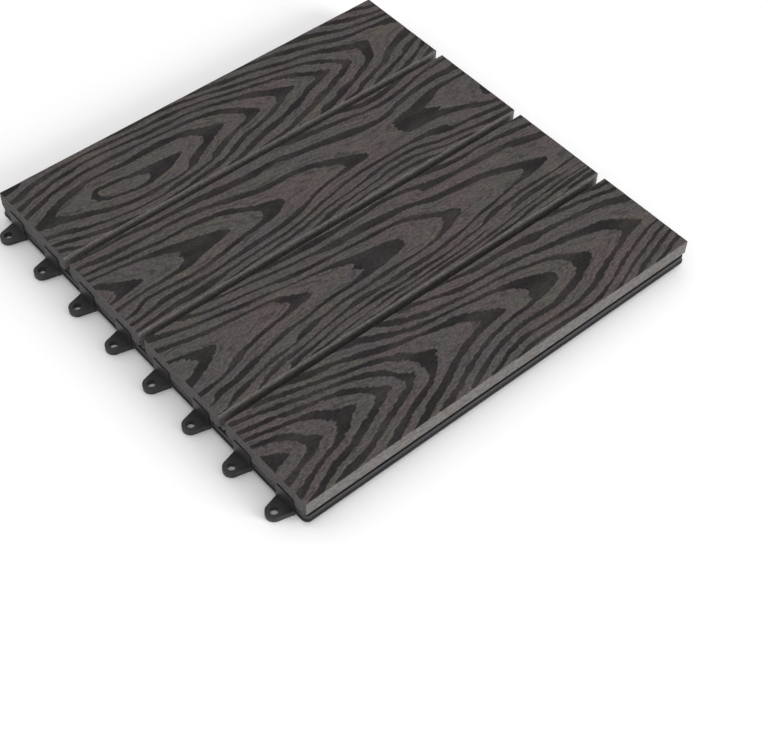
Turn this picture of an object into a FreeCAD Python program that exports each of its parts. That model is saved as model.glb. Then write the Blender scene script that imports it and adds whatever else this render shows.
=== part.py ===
"""Interlocking deck tile: four solid slats screwed to a moulded lattice base.

Units are millimetres. The origin is the middle of the underside, where the tile stands.
+X runs along the slats, +Y across them and +Z up. The loops stand out of the -X and +Y
sides, and the pegs that the next tile's loops snap on hang under the +X and -Y sides.
"""
import FreeCAD, Part
import math
import os

# the tile as a whole
tile_module = 300.0          # from one laid tile to the next
laying_gap = 0.6             # free space between the rims of two laid tiles
tile_height = 22.0
base_height = 9.5            # from the ground to the underside of the slats

# slats
board_count = 4
board_gap = 5.8              # between two slats
board_inset = 0.9            # the rim stands out beyond the slats
board_top_bevel = 0.35       # along the two long top edges
board_end_bevel = 0.3        # along the two short top edges
board_foot_chamfer = 2.3     # along the two long bottom edges

# rim and lattice
rim_wall = 2.0
rim_corner_radius = 4.0
rim_setback = 0.7            # the rim's face lies behind its lip and the upstands
lip_height = 1.2             # the lip runs round the foot of the rim
rib_wall = 1.8
ribs_per_board = 3           # ribs along the slats, for each slat
cross_rib_pitch = 29.4       # between two ribs across the slats
rib_lift = 2.0               # the ribs stay clear of the ground by this
foot_width = 6.0             # square feet under the rib crossings
foot_spacing = 2             # a foot under every second rib crossing

# loops and the pegs that they snap on
loop_count = 8               # on each of the two loop sides
loop_reach = 7.0             # from the edge of the module to the middle of the hole
loop_radius = 5.2
loop_hole_radius = 2.6
loop_thickness = 3.7
loop_lift = 0.4              # the loops stay clear of the ground by this
loop_root_width = 14.4
upstand_width = 15.0
upstand_height = 5.0         # above the rim
upstand_corner = 0.9
upstand_clearance = 0.1      # to the slat behind it
peg_clearance = 0.15         # in the hole of a loop, all round
peg_lift = 0.8               # the pegs stay clear of the ground by this
pass_clearance = 0.3         # between a loop's top and the rim that it passes under
channel_clearance = 0.8      # between a loop's tip and the wall behind it
ledge_thickness = 2.5        # the plate that carries the pegs

# screws
screw_rib = 4                # counted from the middle cross rib, towards each end of the slats
round_sides = 8              # flats on the small hidden rounds of screws and bosses
screw_shank_radius = 1.75
screw_length = 11.0          # under the head
screw_point = 2.0
screw_tip_radius = 0.4
screw_head_radius = 3.3
screw_head_height = 2.1
screw_grip = 3.0             # thickness of base under a slat that the head pulls up
screw_hole_clearance = 0.2
pilot_clearance = 0.02
pilot_spare_depth = 0.4
head_clearance = 0.5
boss_wall = 1.5

# sizes that follow from those above
base_half = (tile_module - laying_gap) / 2
board_thickness = tile_height - base_height
deck_half = base_half - board_inset
board_length = 2 * deck_half
board_width = (board_length - (board_count - 1) * board_gap) / board_count
board_pitch = board_width + board_gap
rib_pitch = board_pitch / ribs_per_board
loop_pitch = tile_module / loop_count
loop_line = tile_module / 2 + loop_reach
loop_top = loop_lift + loop_thickness
rim_foot = loop_top + pass_clearance
rim_inside = base_half - rim_wall
peg_line = tile_module / 2 - loop_reach
peg_radius = loop_hole_radius - peg_clearance
ledge_foot = base_height - ledge_thickness
channel_wall_face = peg_line - loop_radius - channel_clearance
channel_wall_back = channel_wall_face - rib_wall
boss_bore_radius = screw_head_radius + head_clearance
boss_radius = boss_bore_radius + boss_wall
screw_hole_radius = screw_shank_radius + screw_hole_clearance
screw_seat = base_height - screw_grip
through = tile_height        # how far a cutter runs past what it cuts


def box(x0, y0, z0, x1, y1, z1):
    return Part.makeBox(x1 - x0, y1 - y0, z1 - z0, FreeCAD.Vector(x0, y0, z0))


def post(radius, x, y, z0, z1):
    return Part.makeCylinder(radius, z1 - z0, FreeCAD.Vector(x, y, z0))


def ring_of_flats(radius, x, y, z):
    """A closed outline of equal flats about an upright axis."""
    turns = [math.radians(360 / round_sides) * (side + 0.5) for side in range(round_sides)]
    corners = [FreeCAD.Vector(x + radius * math.cos(a), y + radius * math.sin(a), z) for a in turns]
    return Part.makePolygon(corners + corners[:1])


def flat_post(radius, x, y, z0, z1):
    """An upright post with a few flats in place of its round."""
    return Part.Face(ring_of_flats(radius, x, y, z0)).extrude(FreeCAD.Vector(0, 0, z1 - z0))


def rounded_square(half, radius, z0, z1):
    block = box(-half, -half, z0, half, half, z1)
    upright = [edge for edge in block.Edges if abs(edge.BoundBox.ZLength - (z1 - z0)) < 1e-6]
    return block.makeFillet(radius, upright)


def edges_at(shape, z):
    return [edge for edge in shape.Edges if edge.BoundBox.ZMin > z - 1e-6 and edge.BoundBox.ZMax < z + 1e-6]


def loop_places():
    return [(index - (loop_count - 1) / 2) * loop_pitch for index in range(loop_count)]


def rib_lines(pitch):
    """Middle lines of the ribs, as many as fit before the channel's wall."""
    most = int((channel_wall_back - rib_wall) / pitch)
    return [index * pitch for index in range(-most, most + 1)]


def board_middles():
    return [((board_count - 1) / 2 - index) * board_pitch for index in range(board_count)]


def screw_places():
    """Each slat has two screws near each end, where ribs cross."""
    places = []
    for middle in board_middles():
        for end in (-1, 1):
            for side in (-1, 1):
                places.append((end * screw_rib * cross_rib_pitch, middle + side * rib_pitch / 2))
    return places


def cell_spans(low, high, pitch):
    """Open stretches between the ribs, from one outer wall to the other."""
    starts = [low] + [line + rib_wall / 2 for line in rib_lines(pitch)]
    ends = [line - rib_wall / 2 for line in rib_lines(pitch)] + [high]
    return list(zip(starts, ends))


def make_rim_and_lattice():
    """The rim with its lip, the ledge that carries the pegs, and the ribs."""
    lip = rounded_square(base_half, rim_corner_radius, rim_foot, rim_foot + lip_height)
    face_half = base_half - rim_setback
    slab = lip.fuse(rounded_square(face_half, rim_corner_radius - rim_setback, rim_foot, base_height))
    core = box(-rim_inside, -channel_wall_face, rib_lift, channel_wall_face, rim_inside, base_height)
    inside = rounded_square(rim_inside, rim_corner_radius - rim_wall, -through, ledge_foot)
    around = box(-rim_inside, -channel_wall_face, -through, channel_wall_face, rim_inside, through)
    channel = inside.cut(around)
    body = slab.cut(channel).fuse(core)
    cells = []
    for x0, x1 in cell_spans(-rim_inside, channel_wall_back, cross_rib_pitch):
        for y0, y1 in cell_spans(-channel_wall_back, rim_inside, rib_pitch):
            cells.append(box(x0, y0, -through, x1, y1, through))
    return body.cut(Part.makeCompound(cells))


def every_so_many(lines):
    """The middle line and every further one that has feet, on both sides."""
    middle = len(lines) // 2
    return [line for index, line in enumerate(lines) if (index - middle) % foot_spacing == 0]


def make_feet():
    """Square feet under the crossings, apart from those on the cross ribs that hold screws."""
    half = foot_width / 2
    feet = []
    for x in every_so_many(rib_lines(cross_rib_pitch)):
        for y in every_so_many(rib_lines(rib_pitch)):
            if abs(x) < (screw_rib - 0.5) * cross_rib_pitch:
                feet.append(box(x - half, y - half, 0, x + half, y + half, rib_lift))
    return feet


def tangent_outline(middle_x, middle_y, radius, root_x, root_half):
    """A tab: a round tip with two straight sides that run to a wider root."""
    away = root_x - middle_x
    reach = math.hypot(away, root_half)
    turn = math.atan2(root_half, away) + math.acos(radius / reach)
    touch_x = middle_x + radius * math.cos(turn)
    touch_y = radius * math.sin(turn)
    top = FreeCAD.Vector(touch_x, middle_y + touch_y, 0)
    tip = FreeCAD.Vector(middle_x - radius, middle_y, 0)
    bottom = FreeCAD.Vector(touch_x, middle_y - touch_y, 0)
    root_bottom = FreeCAD.Vector(root_x, middle_y - root_half, 0)
    root_top = FreeCAD.Vector(root_x, middle_y + root_half, 0)
    back_bottom = FreeCAD.Vector(root_x + rim_wall, middle_y - root_half, 0)
    back_top = FreeCAD.Vector(root_x + rim_wall, middle_y + root_half, 0)
    sides = [
        Part.Arc(top, tip, bottom).toShape(),
        Part.makeLine(bottom, root_bottom),
        Part.makeLine(root_bottom, back_bottom),
        Part.makeLine(back_bottom, back_top),
        Part.makeLine(back_top, root_top),
        Part.makeLine(root_top, top),
    ]
    return Part.Face(Part.Wire(sides))


def make_loop(place):
    """One loop of the -X side: ring, root plate and upstand."""
    outline = tangent_outline(-loop_line, place, loop_radius, -base_half, loop_root_width / 2)
    tab = outline.extrude(FreeCAD.Vector(0, 0, loop_thickness))
    tab.translate(FreeCAD.Vector(0, 0, loop_lift))
    half = upstand_width / 2
    root = box(-base_half, place - half, loop_lift, -rim_inside, place + half, base_height)
    upstand_back = -deck_half - upstand_clearance
    upstand_top = base_height + upstand_height
    upstand = box(-base_half, place - half, loop_lift, upstand_back, place + half, upstand_top)
    corners = [
        edge for edge in edges_at(upstand, upstand_top)
        if edge.BoundBox.YLength < 1e-6
    ]
    upstand = upstand.makeChamfer(upstand_corner, corners)
    return tab.fuse([root, upstand])


def make_base():
    adds = make_feet()
    cuts = []
    for x, y in screw_places():
        adds.append(flat_post(boss_radius, x, y, 0, base_height))
        cuts.append(flat_post(boss_bore_radius, x, y, -through, screw_seat))
        cuts.append(flat_post(screw_hole_radius, x, y, -through, through))
    turn = FreeCAD.Rotation(FreeCAD.Vector(0, 0, 1), -90)
    for place in loop_places():
        loop = make_loop(place)
        other = loop.copy()
        other.Placement = FreeCAD.Placement(FreeCAD.Vector(0, 0, 0), turn).multiply(other.Placement)
        adds += [loop, other]
        for x, y in ((peg_line, place), (place, -peg_line)):
            adds.append(post(peg_radius, x, y, peg_lift, base_height - ledge_thickness / 2))
        cuts.append(post(loop_hole_radius, -loop_line, place, -through, through))
        cuts.append(post(loop_hole_radius, place, loop_line, -through, through))
    body = make_rim_and_lattice().fuse(adds)
    body = body.cut(Part.makeCompound(cuts))
    return body.removeSplitter()


def make_board(middle):
    """One slat: a bar with eased top edges, chamfered feet and pilot holes for its screws."""
    half = board_width / 2
    points = [
        (-half + board_foot_chamfer, 0),
        (half - board_foot_chamfer, 0),
        (half, board_foot_chamfer),
        (half, board_thickness - board_top_bevel),
        (half - board_top_bevel, board_thickness),
        (-half + board_top_bevel, board_thickness),
        (-half, board_thickness - board_top_bevel),
        (-half, board_foot_chamfer),
    ]
    corners = [FreeCAD.Vector(-deck_half, middle + y, base_height + z) for y, z in points]
    profile = Part.Face(Part.makePolygon(corners + corners[:1]))
    board = profile.extrude(FreeCAD.Vector(board_length, 0, 0))
    ends = [edge for edge in edges_at(board, tile_height) if edge.BoundBox.XLength < 1e-6]
    board = board.makeChamfer(board_end_bevel, ends)
    pilot_radius = screw_shank_radius + pilot_clearance
    pilot_end = screw_seat + screw_length + pilot_spare_depth
    holes = [flat_post(pilot_radius, x, y, 0, pilot_end) for x, y in screw_places() if abs(y - middle) < half]
    return board.cut(Part.makeCompound(holes))


def make_screw(x, y):
    """A self-tapping screw, head down."""
    neck = screw_seat + screw_length - screw_point
    head = flat_post(screw_head_radius, x, y, screw_seat - screw_head_height, screw_seat)
    shank = flat_post(screw_shank_radius, x, y, screw_seat, neck)
    point_foot = ring_of_flats(screw_shank_radius, x, y, neck)
    point_tip = ring_of_flats(screw_tip_radius, x, y, neck + screw_point)
    point = Part.makeLoft([point_foot, point_tip], True, True)
    return head.fuse([shank, point]).removeSplitter()


def save(name, shape):
    shape.exportStep("parts/" + name + ".step")
    print(name, "solids", len(shape.Solids), "valid", shape.isValid(), "volume cm3", round(shape.Volume / 1000, 1))


os.makedirs("parts", exist_ok=True)
save("base", make_base())
for number, middle in enumerate(board_middles(), start=1):
    save("board_" + str(number), make_board(middle))
save("board_screws", Part.makeCompound([make_screw(x, y) for x, y in screw_places()]))
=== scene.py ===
import math

import bmesh
import bpy
import numpy as np
from mathutils import Matrix, Vector


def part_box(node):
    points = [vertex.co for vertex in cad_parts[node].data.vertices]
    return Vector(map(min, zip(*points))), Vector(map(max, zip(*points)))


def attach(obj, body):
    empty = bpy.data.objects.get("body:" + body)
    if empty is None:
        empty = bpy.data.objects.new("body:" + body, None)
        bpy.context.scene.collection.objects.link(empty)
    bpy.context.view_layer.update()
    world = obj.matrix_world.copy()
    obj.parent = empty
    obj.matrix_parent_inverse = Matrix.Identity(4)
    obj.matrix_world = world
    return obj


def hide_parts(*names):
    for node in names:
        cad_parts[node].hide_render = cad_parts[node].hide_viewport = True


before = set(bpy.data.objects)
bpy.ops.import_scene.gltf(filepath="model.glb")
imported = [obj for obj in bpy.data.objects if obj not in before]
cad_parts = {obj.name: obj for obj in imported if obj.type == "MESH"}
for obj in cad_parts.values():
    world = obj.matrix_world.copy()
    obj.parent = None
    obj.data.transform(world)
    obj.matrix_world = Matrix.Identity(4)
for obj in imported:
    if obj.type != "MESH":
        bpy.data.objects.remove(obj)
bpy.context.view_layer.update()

mm = 0.001
print("stage: frame loaded, nodes", sorted(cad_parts))


# Grain of the slats

# Year rings are numbered along each slat, and a dark band ends at each whole number.
# Places are millimetres from the slat's middle, with x along it and y across it.
# rings, middle: the ring number along the line of the arches' tips, and that line's y
# above, below: the ring numbers along three more lines on each side, the nearest first
# share: how much of a ring is dark
# blunt: shape of the arches' tips, from about 1 for sharp to 3 for blunt
# thinning: how much thinner the arches' flanks are than their tips
# outer, breaks: how much wider the outer bands are, and how much their width varies,
# above and below
slatGrain = {
    "board_1": {
        "rings": [(-160, 1.3), (-150, 1), (-138, 0.64), (-108, 0), (-100, -0.7), (-87, -0.96),
                  (-76, -0.75), (-68, -0.4), (-58, -0.2), (-36, 0), (-20, 0.64), (-3, 1),
                  (12, 1.64), (21, 2), (39, 2.64), (55, 3), (73, 3.64), (82, 4), (91, 4.64),
                  (99, 5), (112, 5.64), (121, 6), (152, 6.45)],
        "middle": [(-150, -5), (-108, -3), (-88, -6), (-68, -10), (-50, -8), (-36, -5), (-5, -2),
                   (20, -7), (52, -2), (80, -5), (98, -7), (120, 2), (150, 0)],
        "above": [(2.4, 1.3, 0.9, 1.2, 0.9, 1.3, 2, 2.9, 3.8, 4.9, 6.1, 6.6, 7),
                  (3.7, 2.8, 2.3, 2.4, 2.7, 3, 3.5, 4.7, 5.6, 6.4, 7.2, 8.2, 9.1),
                  (5, 4.5, 4.5, 4.6, 4.7, 4.9, 5.7, 6.6, 7.2, 7.6, 8.3, 9.5, 10.7)],
        "below": [(1.2, 0.7, -0.1, -0.5, -0.1, 0.9, 1.8, 2.6, 3.6, 4.4, 5.3, 6.5, 7.1),
                  (2.8, 1.6, 0.9, 0.5, 0.8, 1.7, 3.1, 3.8, 4.4, 5.3, 6.3, 7.4, 8.6),
                  (4.6, 3.3, 2.6, 2.5, 3, 3.5, 4.3, 5.1, 5.6, 6.6, 7.8, 9, 10.3)],
        "share": [(-108, 0.44), (-98, 0.3), (-78, 0.3), (-68, 0.44)],
        "blunt": [(-108, 1.27), (-98, 0.75), (-76, 0.75), (-66, 1.27), (40, 1.27), (70, 1.05),
                  (125, 1.05)],
        "thinning": 0.1, "outer": (0.02, 0.02), "breaks": (0.13, 0.13), "seed": 11,
    },
    "board_2": {
        "rings": [(-150, 0.3), (-140, 0.64), (-121, 1), (-97, 1.62), (-57, 2), (-36, 2.64),
                  (-17, 3), (29, 3.7), (50, 4), (63, 4.15), (78, 4), (83, 3.84), (116, 3.62),
                  (144, 3.02), (152, 2.7)],
        "middle": [(-150, -2), (-122, -3), (-80, -2), (-57, -4), (-17, -4), (30, -5), (50, -7),
                   (80, 2), (115, -2), (150, -8)],
        "above": [(0.7, 1.6, 1.9, 2.4, 3, 3.75, 3.86, 4.2, 4.5, 4.6, 3.97, 3.6, 3.6),
                  (2.8, 3.3, 3.75, 3.65, 4.2, 4.55, 4.55, 4.9, 5.2, 5.64, 5.2, 4.75, 4.75),
                  (4.5, 5, 5, 5.4, 5.2, 5.4, 5.6, 5.9, 6.3, 7.1, 7, 6.4, 6.1)],
        "below": [(1.5, 1.8, 1.9, 2.2, 2.6, 3.07, 3.7, 4.15, 4.2, 4.3, 4.25, 3.7, 2.7),
                  (2.7, 3.5, 3.35, 3.5, 3.75, 4, 5, 5.6, 5.9, 6, 4.9, 4.5, 3.8),
                  (5, 5.1, 5.05, 5.8, 6.2, 6.5, 7.2, 8, 8.2, 8.2, 7.2, 6, 5.8)],
        "share": [(-20, 0.37), (0, 0.25), (32, 0.27), (60, 0.37)],
        "blunt": [(-110, 1.27), (-95, 1.8), (-65, 1.8), (-45, 1.27), (68, 1.27), (78, 3.4),
                  (104, 3.4), (120, 1.27)],
        "thinning": 0.2, "outer": (0.06, 0.1), "breaks": (0.13, 0.13), "seed": 23,
    },
    "board_3": {
        "rings": [(-150, 0.5), (-138, 0.64), (-118, 1), (-69, 1.66), (-52, 2), (-24, 2.62),
                  (16, 3), (44, 3.64), (63, 4), (112, 4.66), (136, 5), (152, 5.2)],
        "middle": [(-150, 5), (-118, 7), (-90, 4), (-60, 2), (0, 0), (30, -3), (55, -3), (90, -4),
                   (125, -5), (150, -5)],
        "above": [(0.6, 1.15, 1.45, 1.63, 2.5, 2.9, 3.35, 3.6, 4.5, 4.7, 5, 5.4, 5.7),
                  (1.6, 2.25, 2.85, 3.64, 4.15, 4.5, 4.6, 5, 5.5, 5.6, 5.75, 6.05, 6.6),
                  (2.6, 3.8, 4.8, 5.3, 6, 6, 6.05, 6, 6.2, 7, 7.3, 7.5, 8.1)],
        "below": [(1, 1.5, 2.4, 2.8, 3.1, 3.15, 3.35, 3.6, 4.1, 4.5, 5.1, 5.25, 5.4),
                  (2.3, 2.75, 3.7, 4.2, 4.9, 4.9, 5, 5.2, 5.5, 6.2, 6.8, 7.1, 7.3),
                  (3.6, 4.6, 5.8, 6.8, 7.4, 7.7, 8, 8.3, 8.5, 9, 9.5, 9.9, 10.2)],
        "share": [(-60, 0.29), (-25, 0.37), (10, 0.37), (40, 0.3)],
        "blunt": [(-45, 1.27), (-22, 3), (12, 3), (30, 1.27)],
        "thinning": 0.2, "outer": (0.08, 0.12), "breaks": (0.13, 0.28), "seed": 37,
    },
    "board_4": {
        "rings": [(-152, 0.62), (-132, 1), (-122, 1.64), (-111, 2), (-100, 2.62), (-83, 3),
                  (-70, 3.64), (-58, 4), (-53, 4.64), (-43, 5), (-38, 5.64), (-24, 6), (9, 6.66),
                  (27, 7), (41, 7.6), (69, 8), (80, 8.62), (97, 9), (127, 9.68), (143, 10),
                  (152, 10.2)],
        "middle": [(-150, -2), (-111, -6), (-90, -1), (-60, -4), (-43, -6), (-25, 2), (0, -1),
                   (25, -5), (69, -5), (97, -4), (142, -6)],
        "above": [(1.3, 2.3, 3.3, 4.5, 5.8, 6.5, 6.9, 7.7, 8.2, 9, 9.7, 10.1, 10.7),
                  (3.1, 3.9, 5.1, 6.1, 7, 8.1, 9, 9.8, 9.9, 10.3, 10.5, 10.7, 11.4),
                  (4.9, 6, 6.9, 7.4, 8, 9.4, 10.5, 11.1, 11.2, 11.2, 11.8, 12.5, 13.2)],
        "below": [(1, 1.9, 2.9, 4.1, 5.1, 6.5, 7.2, 7.8, 8, 8.6, 9.3, 10.3, 11.2),
                  (1.9, 3.3, 4, 5, 6.2, 7.4, 8.6, 9.3, 9.1, 9.5, 10.5, 11.8, 13.1),
                  (3.2, 4.6, 5.3, 6.2, 7.5, 9, 10.4, 11.1, 10.9, 11, 12.3, 13.6, 14.6)],
        "share": [(-20, 0.46), (0, 0.36)],
        "blunt": [(-150, 1.27), (-120, 1.05), (-20, 1.05), (0, 1.27), (30, 1.4), (42, 3), (68, 3),
                  (80, 1.27)],
        "thinning": 0.1, "outer": (0.04, 0.04), "breaks": (0.13, 0.13), "seed": 53,
    },
}
lineStations = tuple(range(-150, 151, 25))    # along the slat, for each value of a line
lineOffsets = (11, 22, 34)                    # from the slat's middle to each line
grainValues = {
    "edgeSoftness": 0.28,    # mm, half the width of a band's edge
    "depth": 0.42,           # mm, how deep the dark bands are embossed
    "step": 0.1,             # mm, used to measure how fast the rings change
    "leastSlope": 0.01,      # rings for each millimetre
    "acrossRounding": 2.0,   # mm
    "ringsBlur": 2,          # mm, over which the corners of the keyed lines are rounded
    "keysBlur": 6,
    "rowsBlur": 8,
    # waves that shift the rings: number of the wave, mm of shift, mm of length, stretch along x
    "wavesAlong": ((1, 1.2, 22, 2.2), (4, 0.5, 3.4, 1.4), (7, 0.7, 1.7, 5)),
    "wavesAcross": ((2, 0.8, 24, 3.0), (3, 0.3, 6, 2.5), (6, 0.15, 1.6, 1.6)),
    "outerStart": 4.9,       # mm from the middle, where the outer bands' own width sets in
    "outerWidth": 14.0,      # mm, over which it does
    "flankStart": 4.0,       # mm from the arches' middle, where their flanks are thinned in full
    "flankEnd": 16.0,        # mm, where they are no longer
    "flankFade": 6.0,
    "shareRange": (0.05, 0.68),    # least and most of a ring that is dark
    "breakWave": (5, 13, 4.0),     # number of the wave, mm of length, stretch along x
    "tone": (0.88, 0.12),          # mean darkness of a band, and how much it varies
    "toneWave": (8, 12, 3.0),
    "fineLines": 3.4,        # faint lines for each ring
    "fineStrength": 0.42,    # of a dark band's
    "fineShare": 0.4,
    "fineShift": 0.4,
    "fineWave": (9, 7, 4.0),
    "finePatches": (0.5, 0.6),
    "finePatchWave": (10, 9, 3.0),
    "paintedHighlightWidth": 0.8,        # mm, width of the painted highlight beside a band
    "paintedHighlightPatches": (0.6, 0.5),
    "paintedHighlightWave": (12, 8, 2.0),
}
rounding = ((-1.0, 0.1), (-0.6, 0.2), (0.0, 0.4), (0.6, 0.2), (1.0, 0.1))
tablePlaces = np.arange(-175.0, 175.5, 0.5)


def ripple(x, y, seed, length, stretch, count=7):
    # a smooth random wave of about the given length, drawn out along x
    draw = np.random.default_rng(seed)
    total = np.zeros_like(x)
    for _ in range(count):
        heading = draw.uniform(0, 2 * math.pi)
        size = length * draw.uniform(0.6, 1.7)
        alongX = 2 * math.pi * math.cos(heading) / (size * stretch)
        alongY = 2 * math.pi * math.sin(heading) / size
        height = draw.uniform(0.5, 1.0)
        total += height * np.sin(alongX * x + alongY * y + draw.uniform(0, 2 * math.pi))
    return total / math.sqrt(count)


def wave(x, y, grain, key):
    number, length, stretch = grainValues[key]
    return ripple(x, y, grain["seed"] + number, length, stretch)


def roundedLine(points, blur):
    # the line through the points, with its corners rounded off
    places, values = zip(*points)
    return sum(weight * np.interp(tablePlaces + offset * blur, places, values)
               for offset, weight in rounding)


def drawLines(grain):
    lines = {"rings": roundedLine(grain["rings"], grainValues["ringsBlur"])}
    for key in ("middle", "share", "blunt"):
        lines[key] = roundedLine(grain[key], grainValues["keysBlur"])
    for side, key in ((1, "above"), (-1, "below")):
        lines[side] = [roundedLine(list(zip(lineStations, row)), grainValues["rowsBlur"])
                       for row in grain[key]]
    return lines


def ringsOnSide(x, y, lines, side):
    # the ring number on one side of the middle, and 0 on the other side
    first, second, third = lineOffsets
    start = np.interp(x, tablePlaces, lines["rings"])
    middle = side * np.interp(x, tablePlaces, lines["middle"])
    near, middleLine, far = (np.interp(x, tablePlaces, line) for line in lines[side])
    away = side * y
    blunt = np.interp(x, tablePlaces, lines["blunt"])
    rings = start + (near - start) * np.clip((away - middle) / (first - middle), 0, 1) ** blunt
    rings += (middleLine - near) * np.clip((away - first) / (second - first), 0, 1)
    rings += (far - middleLine) * np.clip(away - second, 0, None) / (third - second)
    return np.where(away > middle, rings, 0)


def shift(x, y, grain, key):
    return sum(reach * ripple(x, y, grain["seed"] + number, length, stretch)
               for number, reach, length, stretch in grainValues[key])


def ringNumber(x, y, grain, lines):
    # the ring number at each place, along wavy lines and rounded off across them
    shiftedX = x + shift(x, y, grain, "wavesAlong")
    shiftedY = y + shift(x, y, grain, "wavesAcross")
    total = np.zeros_like(x)
    for offset, weight in rounding:
        place = shiftedY + offset * grainValues["acrossRounding"]
        total += weight * (ringsOnSide(shiftedX, place, lines, 1)
                           + ringsOnSide(shiftedX, place, lines, -1))
    return total


def depthInBand(rings, slope, share):
    # how far inside the band that ends at each whole number a place is, in millimetres
    part = rings - np.floor(rings)
    inside = np.maximum(share / 2 - np.abs(part - (1 - share / 2)), -part)
    return inside / slope


def band(depth):
    # 1 inside the band, 0 outside it
    edge = np.clip(depth / (2 * grainValues["edgeSoftness"]) + 0.5, 0, 1)
    return edge * edge * (3 - 2 * edge)


def darkGrain(x, y, grain):
    # how dark each place is: 1 in the bands, a little in the faint lines between them,
    # and how much painted highlight lies along the edges beside the bands
    values = grainValues
    step = values["step"]
    lines = drawLines(grain)
    rings = ringNumber(x, y, grain, lines)
    slopeX = (ringNumber(x + step, y, grain, lines) - rings) / step
    slopeY = (ringNumber(x, y + step, grain, lines) - rings) / step
    slope = np.maximum(np.hypot(slopeX, slopeY), values["leastSlope"])

    outward = np.clip((np.abs(y) - values["outerStart"]) / values["outerWidth"], 0, 1)
    across = np.abs(y - np.interp(x, tablePlaces, lines["middle"]))
    flank = np.clip(across / values["flankStart"], 0, 1)
    flank *= np.clip((values["flankEnd"] - across) / values["flankFade"], 0, 1)
    share = np.interp(x, tablePlaces, lines["share"]) * (1 - grain["thinning"] * flank)
    share += outward * np.where(y > 0, *grain["outer"])
    share += outward * np.where(y > 0, *grain["breaks"]) * wave(x, y, grain, "breakWave")
    depth = depthInBand(rings, slope, np.clip(share, *values["shareRange"]))

    mean, swing = values["tone"]
    dark = np.clip(band(depth) * (mean + swing * wave(x, y, grain, "toneWave")), 0, 1)
    count = values["fineLines"]
    fineRings = rings * count + values["fineShift"] * wave(x, y, grain, "fineWave")
    fine = band(depthInBand(fineRings, slope * count, values["fineShare"]))
    mean, swing = values["finePatches"]
    fine *= np.clip(mean + swing * wave(x, y, grain, "finePatchWave"), 0, 1)
    fine *= values["fineStrength"]
    # painted highlight: a lighter strip along the edge beside each dark band, stronger in patches
    mean, swing = values["paintedHighlightPatches"]
    paintedHighlight = np.clip(1 + depth / values["paintedHighlightWidth"], 0, 1) * np.clip(1 - 2 * dark, 0, 1)
    paintedHighlight *= np.clip(mean + swing * wave(x, y, grain, "paintedHighlightWave"), 0, 1)
    return np.maximum(dark, fine), paintedHighlight


# Slats

slatValues = {
    "spacing": 0.52,         # mm between two points of the top
    "fadeWidth": 1.5,        # mm, over which the relief runs out towards the slat's edges
    "fadeRest": 0.3,         # share of its depth left at the edge
    "topBevel": 0.35,        # mm
    "endBevel": 0.3,
    "bevelShare": 0.3,       # how far the bevel has dropped at its first step
    "bevelSide": 0.45,       # how much of the sides' colour that step has
    "footChamfer": 2.3,
}


def widenRing(bm, edges, centre, growX, growY, drop):
    # extrudes the open rim outwards and down, and gives back the new rim
    made = bmesh.ops.extrude_edge_only(bm, edges=edges)["geom"]
    verts = [item for item in made if isinstance(item, bmesh.types.BMVert)]
    halfX = max(abs(vert.co.x - centre.x) for vert in verts)
    halfY = max(abs(vert.co.y - centre.y) for vert in verts)
    bmesh.ops.scale(bm, vec=((halfX + growX) / halfX, (halfY + growY) / halfY, 1),
                    space=Matrix.Translation(-centre), verts=verts)
    bmesh.ops.translate(bm, vec=(0, 0, -drop), verts=verts)
    rim = [item for item in made
           if isinstance(item, bmesh.types.BMEdge) and len(item.link_faces) == 1]
    return rim, verts


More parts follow.
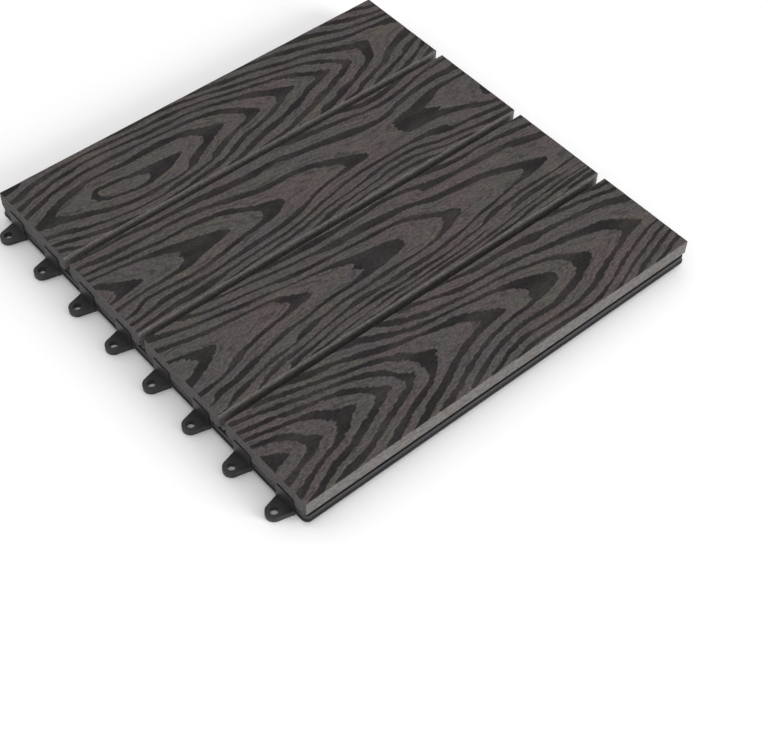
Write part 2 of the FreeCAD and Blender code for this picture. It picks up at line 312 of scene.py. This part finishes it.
def makeSlat(nodeName, grain, material):
    low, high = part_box(nodeName)
    centre = (low + high) / 2
    half = (high - low) / 2
    values = slatValues
    spacing = values["spacing"] * mm
    topHalfX = half.x - values["endBevel"] * mm
    topHalfY = half.y - values["topBevel"] * mm
    bm = bmesh.new()
    grainLayer = bm.verts.layers.float.new("grain")
    # per point, the strength of the painted highlight beside the bands
    paintedHighlightLayer = bm.verts.layers.float.new("paintedHighlight")
    sideLayer = bm.verts.layers.float.new("sideFace")
    bmesh.ops.create_grid(bm, x_segments=round(2 * topHalfX / spacing),
                          y_segments=round(2 * topHalfY / spacing), size=1.0)
    bmesh.ops.scale(bm, vec=(topHalfX, topHalfY, 1), verts=bm.verts)
    bmesh.ops.translate(bm, vec=(centre.x, centre.y, high.z), verts=bm.verts)
    topVerts = list(bm.verts)
    topFaces = list(bm.faces)
    places = np.array([(vert.co.x - centre.x, vert.co.y - centre.y) for vert in topVerts]) / mm
    x, y = places[:, 0], places[:, 1]
    inset = np.minimum(topHalfX / mm - np.abs(x), topHalfY / mm - np.abs(y))
    fade = np.clip(inset / values["fadeWidth"], values["fadeRest"], 1)
    for vert, dark, paintedHighlight, part in zip(topVerts, *darkGrain(x, y, grain), fade):
        vert.co.z -= grainValues["depth"] * mm * dark * part
        vert[grainLayer] = dark
        vert[paintedHighlightLayer] = paintedHighlight

    rim = [edge for edge in bm.edges if len(edge.link_faces) == 1]
    share = values["bevelShare"]
    bevel = values["topBevel"] * mm
    endBevel = values["endBevel"] * mm
    rest = 1 - share
    rim, verts = widenRing(bm, rim, centre, endBevel * rest, bevel * rest, bevel * share)
    for vert in verts:
        vert[sideLayer] = values["bevelSide"]
    rim, verts = widenRing(bm, rim, centre, endBevel * share, bevel * share, bevel * rest)
    for vert in verts:
        vert[grainLayer] = 0
        vert[paintedHighlightLayer] = 0
        vert[sideLayer] = 1
    foot = values["footChamfer"] * mm
    rim, verts = widenRing(bm, rim, centre, 0, 0, 0)
    for vert in verts:
        vert[sideLayer] = 1
        vert.co.z = low.z + foot
    rim, verts = widenRing(bm, rim, centre, 0, -foot, foot)
    for vert in verts:
        vert[sideLayer] = 1
    bmesh.ops.contextual_create(bm, geom=rim)
    for face in topFaces:
        face.smooth = True
    bmesh.ops.recalc_face_normals(bm, faces=bm.faces)
    mesh = bpy.data.meshes.new(nodeName + "_slat")
    bm.to_mesh(mesh)
    bm.free()
    mesh.materials.append(material)
    slat = bpy.data.objects.new(nodeName + "_slat", mesh)
    bpy.context.scene.collection.objects.link(slat)
    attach(slat, "root")
    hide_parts(nodeName)
    return slat


# Node groups that more than one material uses

def newGroup(name, inputs, outputs):
    group = bpy.data.node_groups.new(name, "ShaderNodeTree")
    for label, kind, value in inputs:
        socket = group.interface.new_socket(name=label, in_out="INPUT", socket_type=kind)
        if value is not None:
            socket.default_value = value
    for label, kind in outputs:
        group.interface.new_socket(name=label, in_out="OUTPUT", socket_type=kind)
    entry = group.nodes.new("NodeGroupInput")
    result = group.nodes.new("NodeGroupOutput")
    return group, entry, result


def buildStretchedNoise():
    # noise drawn out along an axis: Value is the noise between Low and High
    group, entry, result = newGroup(
        "stretchedNoise",
        [("Vector", "NodeSocketVector", None), ("Stretch", "NodeSocketVector", (1, 1, 1)),
         ("Scale", "NodeSocketFloat", 100.0), ("Low", "NodeSocketFloat", 0.3),
         ("High", "NodeSocketFloat", 0.7)],
        [("Value", "NodeSocketFloat")])
    nodes, links = group.nodes, group.links
    multiply = nodes.new("ShaderNodeVectorMath")
    multiply.operation = "MULTIPLY"
    noise = nodes.new("ShaderNodeTexNoise")
    noise.inputs["Detail"].default_value = 3
    spread = nodes.new("ShaderNodeMapRange")
    links.new(entry.outputs["Vector"], multiply.inputs[0])
    links.new(entry.outputs["Stretch"], multiply.inputs[1])
    links.new(multiply.outputs["Vector"], noise.inputs["Vector"])
    links.new(entry.outputs["Scale"], noise.inputs["Scale"])
    links.new(noise.outputs["Fac"], spread.inputs["Value"])
    links.new(entry.outputs["Low"], spread.inputs["From Min"])
    links.new(entry.outputs["High"], spread.inputs["From Max"])
    links.new(spread.outputs["Result"], result.inputs["Value"])
    return group


stretchedNoise = buildStretchedNoise()


def newMaterial(name):
    material = bpy.data.materials.new(name)
    material.use_nodes = True
    nodes = material.node_tree.nodes
    nodes.clear()
    shader = nodes.new("ShaderNodeBsdfPrincipled")
    out = nodes.new("ShaderNodeOutputMaterial")
    material.node_tree.links.new(shader.outputs["BSDF"], out.inputs["Surface"])
    return material, shader


def placeNoise(material, coordinates, pattern):
    stretch, scale, low, high = pattern
    node = material.node_tree.nodes.new("ShaderNodeGroup")
    node.node_tree = stretchedNoise
    node.inputs["Stretch"].default_value = stretch
    node.inputs["Scale"].default_value = scale
    node.inputs["Low"].default_value = low
    node.inputs["High"].default_value = high
    material.node_tree.links.new(coordinates, node.inputs["Vector"])
    return node.outputs["Value"]


def mixColours(material, factor, first, second, blend="MIX"):
    tree = material.node_tree
    mix = tree.nodes.new("ShaderNodeMix")
    mix.data_type = "RGBA"
    mix.blend_type = blend
    sockets = [mix.inputs[0], mix.inputs[6], mix.inputs[7]]
    for value, socket in zip((factor, first, second), sockets):
        if isinstance(value, bpy.types.NodeSocket):
            tree.links.new(value, socket)
        elif isinstance(value, tuple):
            socket.default_value = (*value, 1.0)
        else:
            socket.default_value = value
    return mix.outputs[2]


def combine(material, operation, first, second):
    tree = material.node_tree
    node = tree.nodes.new("ShaderNodeMath")
    node.operation = operation
    for value, socket in ((first, node.inputs[0]), (second, node.inputs[1])):
        if isinstance(value, bpy.types.NodeSocket):
            tree.links.new(value, socket)
        else:
            socket.default_value = value
    return node.outputs[0]


def readAttribute(material, name):
    node = material.node_tree.nodes.new("ShaderNodeAttribute")
    node.attribute_name = name
    return node.outputs["Fac"]


def addBump(material, shader, height, values):
    tree = material.node_tree
    bump = tree.nodes.new("ShaderNodeBump")
    bump.inputs["Strength"].default_value = values["bumpStrength"]
    bump.inputs["Distance"].default_value = values["bumpDistance"]
    tree.links.new(height, bump.inputs["Height"])
    tree.links.new(bump.outputs["Normal"], shader.inputs["Normal"])


# Composite of the slats

compositeValues = {
    "light": (0.078, 0.070, 0.071),
    "lightPink": (0.090, 0.070, 0.071),
    "lightOlive": (0.072, 0.072, 0.063),
    "lightSand": (0.098, 0.086, 0.067),
    # colour of the painted highlight beside the dark bands
    "paintedHighlightColour": (0.102, 0.094, 0.093),
    "dark": (0.0152, 0.0134, 0.0135),
    "darkGreen": (0.0150, 0.0152, 0.0136),
    "side": (0.141, 0.132, 0.128),
    "end": (0.094, 0.088, 0.088),
    "roughness": 0.8,
    "specular": 0.15,
    # patterns: stretch, scale, and the noise values that become 0 and 1
    "pinkPatches": ((0.6, 1.4, 1.0), 30, 0.40, 0.66),
    "olivePatches": ((0.6, 1.2, 2.0), 52, 0.46, 0.70),
    "sandPatches": ((0.7, 1.3, 3.0), 80, 0.56, 0.74),
    "streaks": ((0.14, 1.0, 1.0), 900, 0.25, 0.75),
    "specks": ((0.45, 1.0, 1.0), 950, 0.36, 0.64),
    "sawMarks": ((1.0, 1.0, 0.12), 700, 0.25, 0.75),
    "patchStrength": 0.8,
    "plainShade": 0.62,      # what is left of the colour where streaks and specks are dark
    "streakShade": 0.26,
    "speckShade": 0.50,
    "endTurn": 0.7,          # faces turned further than this along the slat are its ends
    "bumpStrength": 0.4,
    "bumpDistance": 0.00025,   # m
}


def makeComposite():
    values = compositeValues
    material, shader = newMaterial("charcoalComposite")
    tree = material.node_tree
    coordinates = tree.nodes.new("ShaderNodeTexCoord")
    place = coordinates.outputs["Object"]
    grain = readAttribute(material, "grain")
    side = readAttribute(material, "sideFace")
    facing = tree.nodes.new("ShaderNodeSeparateXYZ")
    tree.links.new(coordinates.outputs["Normal"], facing.inputs["Vector"])
    isEnd = combine(material, "ABSOLUTE", facing.outputs["X"], 0)
    isEnd = combine(material, "GREATER_THAN", isEnd, values["endTurn"])
    isEnd = combine(material, "MULTIPLY", isEnd, side)

    pinkPatches = placeNoise(material, place, values["pinkPatches"])
    olivePatches = placeNoise(material, place, values["olivePatches"])
    sandPatches = placeNoise(material, place, values["sandPatches"])
    streaks = placeNoise(material, place, values["streaks"])
    specks = placeNoise(material, place, values["specks"])
    sawMarks = placeNoise(material, place, values["sawMarks"])
    light = mixColours(material, pinkPatches, values["light"], values["lightPink"])
    for patches, colour in ((olivePatches, "lightOlive"), (sandPatches, "lightSand")):
        amount = combine(material, "MULTIPLY", patches, values["patchStrength"])
        light = mixColours(material, amount, light, values[colour])
    # painted highlight: the light colour is lightened along the edges beside the dark bands
    light = mixColours(material, readAttribute(material, "paintedHighlight"), light, values["paintedHighlightColour"])
    dark = mixColours(material, olivePatches, values["dark"], values["darkGreen"])
    top = mixColours(material, grain, light, dark)
    surface = mixColours(material, side, top, values["side"])
    surface = mixColours(material, isEnd, surface, values["end"])

    lines = mixColours(material, isEnd, streaks, sawMarks)
    shade = combine(material, "MULTIPLY", lines, values["streakShade"])
    speckShade = combine(material, "MULTIPLY", specks, values["speckShade"])
    shade = combine(material, "ADD", shade, speckShade)
    shade = combine(material, "ADD", shade, values["plainShade"])
    shaded = mixColours(material, 1.0, surface, shade, "MULTIPLY")
    tree.links.new(shaded, shader.inputs["Base Color"])
    shader.inputs["Roughness"].default_value = values["roughness"]
    shader.inputs["Specular IOR Level"].default_value = values["specular"]
    addBump(material, shader, combine(material, "ADD", lines, specks), values)
    return material


composite = makeComposite()
for nodeName, grain in slatGrain.items():
    slat = makeSlat(nodeName, grain, composite)
    print("stage:", slat.name, "with", len(slat.data.polygons), "faces")


# Base moulding

plasticValues = {
    "black": (0.0135, 0.0120, 0.0135),
    "grey": (0.0205, 0.0188, 0.0205),
    "roughness": 0.38,
    "specular": 0.5,
    "cloud": ((1.0, 1.0, 1.0), 60, 0.35, 0.7),
    "grit": ((1.0, 1.0, 1.0), 2200, 0.3, 0.7),
    "cloudRoughness": 0.12,
    "bumpStrength": 0.25,
    "bumpDistance": 0.0001,  # m
    "edgeRound": 0.2,        # mm
    "edgeAngle": 40,         # degrees, edges sharper than this are rounded
}


def makePlastic():
    values = plasticValues
    material, shader = newMaterial("mouldedPolypropylene")
    tree = material.node_tree
    place = tree.nodes.new("ShaderNodeTexCoord").outputs["Object"]
    cloud = placeNoise(material, place, values["cloud"])
    grit = placeNoise(material, place, values["grit"])
    colour = mixColours(material, cloud, values["black"], values["grey"])
    tree.links.new(colour, shader.inputs["Base Color"])
    rough = combine(material, "MULTIPLY", cloud, values["cloudRoughness"])
    rough = combine(material, "ADD", rough, values["roughness"])
    tree.links.new(rough, shader.inputs["Roughness"])
    shader.inputs["Specular IOR Level"].default_value = values["specular"]
    addBump(material, shader, grit, values)
    return material


def dress(nodeName, material):
    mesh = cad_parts[nodeName].data
    mesh.materials.clear()
    mesh.materials.append(material)


def easeEdges(nodeName):
    # joins the moulding's loose triangles and rounds its edges a little
    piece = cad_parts[nodeName]
    weld = piece.modifiers.new("weld", "WELD")
    weld.merge_threshold = 1e-6
    bevel = piece.modifiers.new("easedEdges", "BEVEL")
    bevel.width = plasticValues["edgeRound"] * mm
    bevel.segments = 1
    bevel.limit_method = "ANGLE"
    bevel.angle_limit = math.radians(plasticValues["edgeAngle"])


dress("base", makePlastic())
easeEdges("base")
print("stage: base dressed")


# Screws

screwValues = {
    "zinc": (0.52, 0.51, 0.49),
    "roughness": 0.34,
    "cloud": ((1.0, 1.0, 1.0), 400, 0.3, 0.7),
    "cloudRoughness": 0.2,
    "fromEnd": 31.2,         # mm, from the slat's end to the screw's axis
    "fromMiddle": 12.642,    # mm, from the slat's middle to the screw's axis
    "headRadius": 3.3,
    "headHeight": 2.1,
    "faceRadius": 2.5,       # the flat of the head
    "crownInset": 0.25,      # the head's crown is this much smaller than the head
    "crownRise": 0.2,
    "crownHeight": 0.7,
    "recessReach": 1.7,      # from the axis to the end of a slot of the cross
    "recessHalf": 0.42,      # half a slot's width
    "recessDepth": 1.3,
    "recessTaper": 0.6,      # width of the recess at its floor, as a share of that at its mouth
    "neck": 0.8,             # plain shank under the head
    "coreRadius": 1.3,
    "threadRadius": 1.75,
    "threadPitch": 1.4,
    "threadTurns": 6,
    "crestShare": 0.35,      # where in a turn the crest lies
    "rootShare": 0.3,        # how much of a turn is root
    "tipRadius": 0.3,
    "corners": 32,
}


def makeZinc():
    material, shader = newMaterial("zincPlate")
    tree = material.node_tree
    place = tree.nodes.new("ShaderNodeTexCoord").outputs["Object"]
    cloud = placeNoise(material, place, screwValues["cloud"])
    shader.inputs["Base Color"].default_value = (*screwValues["zinc"], 1)
    shader.inputs["Metallic"].default_value = 1.0
    rough = combine(material, "MULTIPLY", cloud, screwValues["cloudRoughness"])
    rough = combine(material, "ADD", rough, screwValues["roughness"])
    tree.links.new(rough, shader.inputs["Roughness"])
    return material


def growRing(bm, edges, radius, height):
    # extrudes the open rim to a ring of the given radius at the given height
    made = bmesh.ops.extrude_edge_only(bm, edges=edges)["geom"]
    for item in made:
        if isinstance(item, bmesh.types.BMVert):
            outward = Vector((item.co.x, item.co.y, 0)).normalized()
            item.co = (outward.x * radius * mm, outward.y * radius * mm, height * mm)
    return [item for item in made
            if isinstance(item, bmesh.types.BMEdge) and len(item.link_faces) == 1]


def addScrew(bm, place, length):
    # head down, made on the axis and then moved, with the head's face at the given place
    values = screwValues
    before = set(bm.verts)
    grid = bmesh.ops.create_grid(bm, x_segments=3, y_segments=3, size=1.0)["verts"]
    for vert in grid:
        for axis in (0, 1):
            size = values["recessReach"] if abs(vert.co[axis]) > 0.5 else values["recessHalf"]
            vert.co[axis] = math.copysign(size * mm, vert.co[axis])
    cells = {face for vert in grid for face in vert.link_faces}
    reach = values["recessHalf"] * mm
    middles = {face: face.calc_center_median() for face in cells}
    cross = [face for face in cells if min(abs(middles[face].x), abs(middles[face].y)) < reach]
    square = [edge for face in cells for edge in face.edges if len(edge.link_faces) == 1]
    circle = bmesh.ops.create_circle(bm, cap_ends=False, segments=values["corners"],
                                     radius=values["faceRadius"] * mm)
    rim = list({edge for vert in circle["verts"] for edge in vert.link_edges})
    bmesh.ops.bridge_loops(bm, edges=square + rim)
    sunk = bmesh.ops.extrude_face_region(bm, geom=cross)["geom"]
    bmesh.ops.delete(bm, geom=cross, context="FACES")
    floor = [item for item in sunk if isinstance(item, bmesh.types.BMVert)]
    taper = values["recessTaper"]
    bmesh.ops.scale(bm, vec=(taper, taper, 1), verts=floor)
    bmesh.ops.translate(bm, vec=(0, 0, values["recessDepth"] * mm), verts=floor)

    head, core, pitch = values["headRadius"], values["coreRadius"], values["threadPitch"]
    height = values["headHeight"]
    rim = growRing(bm, rim, head - values["crownInset"], values["crownRise"])
    rim = growRing(bm, rim, head, values["crownHeight"])
    rim = growRing(bm, rim, head, height)
    rim = growRing(bm, rim, core, height)
    height += values["neck"]
    for _ in range(values["threadTurns"]):
        rim = growRing(bm, rim, core, height)
        rim = growRing(bm, rim, values["threadRadius"], height + values["crestShare"] * pitch)
        height += pitch
        rim = growRing(bm, rim, core, height - values["rootShare"] * pitch)
    rim = growRing(bm, rim, values["tipRadius"], length)
    bmesh.ops.contextual_create(bm, geom=rim)
    made = [vert for vert in bm.verts if vert not in before]
    bmesh.ops.translate(bm, vec=place, verts=made)


def makeScrews(material):
    low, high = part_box("board_screws")
    values = screwValues
    bm = bmesh.new()
    for nodeName in slatGrain:
        slatLow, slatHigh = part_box(nodeName)
        middle = (slatLow.y + slatHigh.y) / 2
        for x in (slatLow.x + values["fromEnd"] * mm, slatHigh.x - values["fromEnd"] * mm):
            for side in (-1, 1):
                place = Vector((x, middle + side * values["fromMiddle"] * mm, low.z))
                addScrew(bm, place, (high.z - low.z) / mm)
    bmesh.ops.recalc_face_normals(bm, faces=bm.faces)
    mesh = bpy.data.meshes.new("screws")
    bm.to_mesh(mesh)
    bm.free()
    mesh.materials.append(material)
    screws = bpy.data.objects.new("slatScrews", mesh)
    bpy.context.scene.collection.objects.link(screws)
    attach(screws, "root")
    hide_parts("board_screws")
    return screws


screws = makeScrews(makeZinc())
print("stage: screws with", len(screws.data.polygons), "faces")


# Floor, light and camera

stageValues = {
    "floorSize": 9.0,        # m
    "floor": (0.86, 0.86, 0.86),
    "seenFloor": (1.0, 1.0, 1.0),
    "floorRoughness": 0.9,
    "sky": 0.87,
    "seenSky": 1.0,
    "keyPlace": (1.58, -3.38, 1.43),
    "keySize": 1.6,          # m
    "keyPower": 92.0,        # W
}


def isSeen(tree):
    # 1 for rays that come from the camera, a reflection or through glass
    rays = tree.nodes.new("ShaderNodeLightPath")
    seen = rays.outputs["Is Camera Ray"]
    for name in ("Is Glossy Ray", "Is Transmission Ray"):
        either = tree.nodes.new("ShaderNodeMath")
        either.operation = "MAXIMUM"
        tree.links.new(seen, either.inputs[0])
        tree.links.new(rays.outputs[name], either.inputs[1])
        seen = either.outputs[0]
    return seen


def makeFloor():
    material, shader = newMaterial("paleFloor")
    seen = isSeen(material.node_tree)
    colour = mixColours(material, seen, stageValues["floor"], stageValues["seenFloor"])
    material.node_tree.links.new(colour, shader.inputs["Base Color"])
    shader.inputs["Roughness"].default_value = stageValues["floorRoughness"]
    shader.inputs["Specular IOR Level"].default_value = 0.0
    bm = bmesh.new()
    bmesh.ops.create_grid(bm, x_segments=1, y_segments=1, size=stageValues["floorSize"] / 2)
    mesh = bpy.data.meshes.new("floor")
    bm.to_mesh(mesh)
    bm.free()
    mesh.materials.append(material)
    floor = bpy.data.objects.new("floor", mesh)
    bpy.context.scene.collection.objects.link(floor)


def makeSky():
    world = bpy.data.worlds.new("softSky")
    world.use_nodes = True
    tree = world.node_tree
    strength = tree.nodes.new("ShaderNodeMapRange")
    tree.links.new(isSeen(tree), strength.inputs["Value"])
    strength.inputs["To Min"].default_value = stageValues["sky"]
    strength.inputs["To Max"].default_value = stageValues["seenSky"]
    background = tree.nodes["Background"]
    background.inputs["Color"].default_value = (1, 1, 1, 1)
    tree.links.new(strength.outputs["Result"], background.inputs["Strength"])
    bpy.context.scene.world = world


def addAreaLight(name, place, size, power):
    lamp = bpy.data.lights.new(name, "AREA")
    lamp.size = size
    lamp.energy = power
    light = bpy.data.objects.new(name, lamp)
    light.location = place
    light.rotation_euler = (-Vector(place)).to_track_quat("-Z", "Y").to_euler()
    bpy.context.scene.collection.objects.link(light)


makeFloor()
makeSky()
addAreaLight("keyLight", stageValues["keyPlace"], stageValues["keySize"],
             stageValues["keyPower"])

cameraValues = {
    "place": (-0.4258, -0.5043, 0.7023),
    "turn": (38.496, -1.495, -40.869),    # degrees
    "lens": 72.55,                        # mm
    "sensor": 36.0,                       # mm
    "clipStart": 0.01,                    # m
}
camera = bpy.data.objects.new("camera", bpy.data.cameras.new("camera"))
camera.location = cameraValues["place"]
camera.rotation_euler = [math.radians(angle) for angle in cameraValues["turn"]]
camera.data.lens = cameraValues["lens"]
camera.data.sensor_width = cameraValues["sensor"]
camera.data.clip_start = cameraValues["clipStart"]
bpy.context.scene.collection.objects.link(camera)
bpy.context.scene.camera = camera
bpy.context.scene.view_settings.view_transform = "Standard"
print("stage: floor, light and camera ready")
